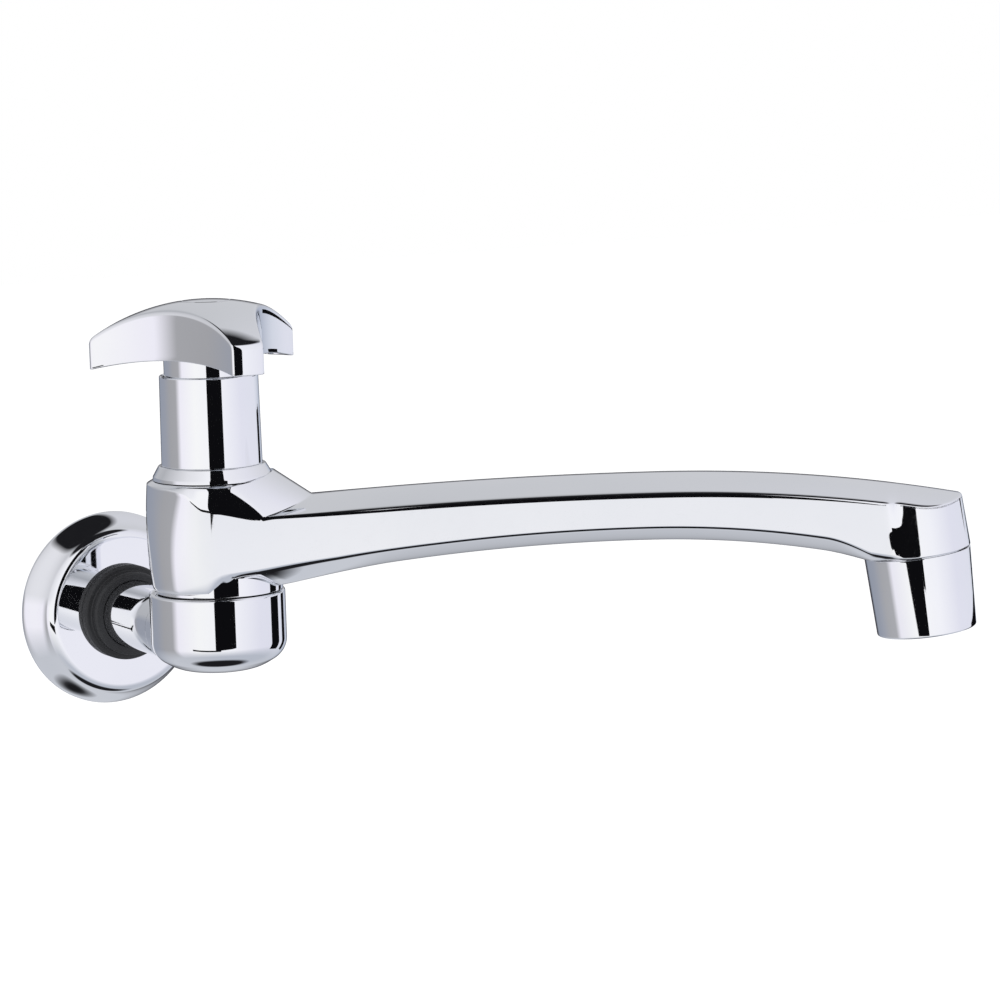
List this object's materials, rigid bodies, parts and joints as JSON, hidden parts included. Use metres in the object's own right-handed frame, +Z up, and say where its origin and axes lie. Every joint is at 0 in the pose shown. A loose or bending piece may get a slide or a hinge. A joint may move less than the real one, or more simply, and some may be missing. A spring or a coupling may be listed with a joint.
{
  "type": "wall faucet",
  "caption": "Chrome wall-mounted cold tap with a three-armed handle, an arched swivel spout with a round nozzle, and a domed wall flange on a threaded inlet.",
  "frame": {"origin": "where the inlet axis meets the wall face, at the centre of the flange's back", "axes": "+Z up along the swivel axis, +Y into the wall along the inlet, the room lies towards -Y"},
  "size_m": [0.1973, 0.1946, 0.1176],
  "materials": {
    "chrome_flange": "bright chrome plate on pressed brass",
    "chrome_body": "bright chrome plate on cast brass",
    "chrome_spout": "bright chrome plate on cast brass",
    "chrome_nozzle": "bright chrome plate on turned brass",
    "chrome_sleeve": "bright chrome plate on turned brass",
    "chrome_collar": "bright chrome plate on turned brass",
    "chrome_handle": "bright chrome plate on cast zinc",
    "chrome_cap": "bright chrome plate",
    "brass": "machined brass",
    "stainless": "bare stainless steel",
    "black_rubber": "moulded black rubber",
    "packing": "graphited packing",
    "fibre": "red fibre sheet",
    "black_acetal": "moulded black acetal",
    "aerator_plastic": "moulded pale grey plastic"
  },
  "bodies": {
    "tap_body": {"wall_flange": "chrome_flange", "neck_seal": "black_rubber", "valve_body": "chrome_body", "lower_spout_seal": "black_rubber", "upper_spout_seal": "black_rubber", "slip_washer": "black_acetal", "slip_ring": "black_acetal", "retaining_collar": "chrome_collar", "bonnet_gasket": "fibre", "bonnet": "brass", "gland_packing": "packing", "packing_washer": "brass", "gland_nut": "brass", "sleeve": "chrome_sleeve"},
    "swivel_spout": {"spout": "chrome_spout", "nozzle_shell": "chrome_nozzle", "aerator_gasket": "black_rubber", "aerator_housing": "aerator_plastic", "aerator_diffuser": "aerator_plastic", "aerator_screen_upper": "stainless", "aerator_screen_lower": "stainless"},
    "jumper": {"jumper_valve": "brass", "jumper_washer": "black_rubber", "jumper_nut": "brass"},
    "turning_handle": {"spindle": "brass", "handle_body": "chrome_handle", "handle_screw": "stainless", "index_cap": "chrome_cap"}
  },
  "joints": [
    {"name": "spout_swivel", "type": "hinge", "parent": "tap_body", "child": "swivel_spout", "pos_m": [0, -0.0665, 0.0287], "axis": [0, 0, 1], "range_deg": [-159, 45]},
    {"name": "spindle_lift", "type": "slide", "parent": "tap_body", "child": "jumper", "axis": [0, 0, 1], "range_m": [0, 0.0045]},
    {"name": "handle_turn", "type": "hinge", "parent": "jumper", "child": "turning_handle", "pos_m": [0, -0.0665, 0.0708], "axis": [0, 0, 1], "range_deg": [0, 540]}
  ],
  "couplings": [
    {"joint": "handle_turn", "follows": "spindle_lift", "rad_per_m": 2094.4}
  ]
}
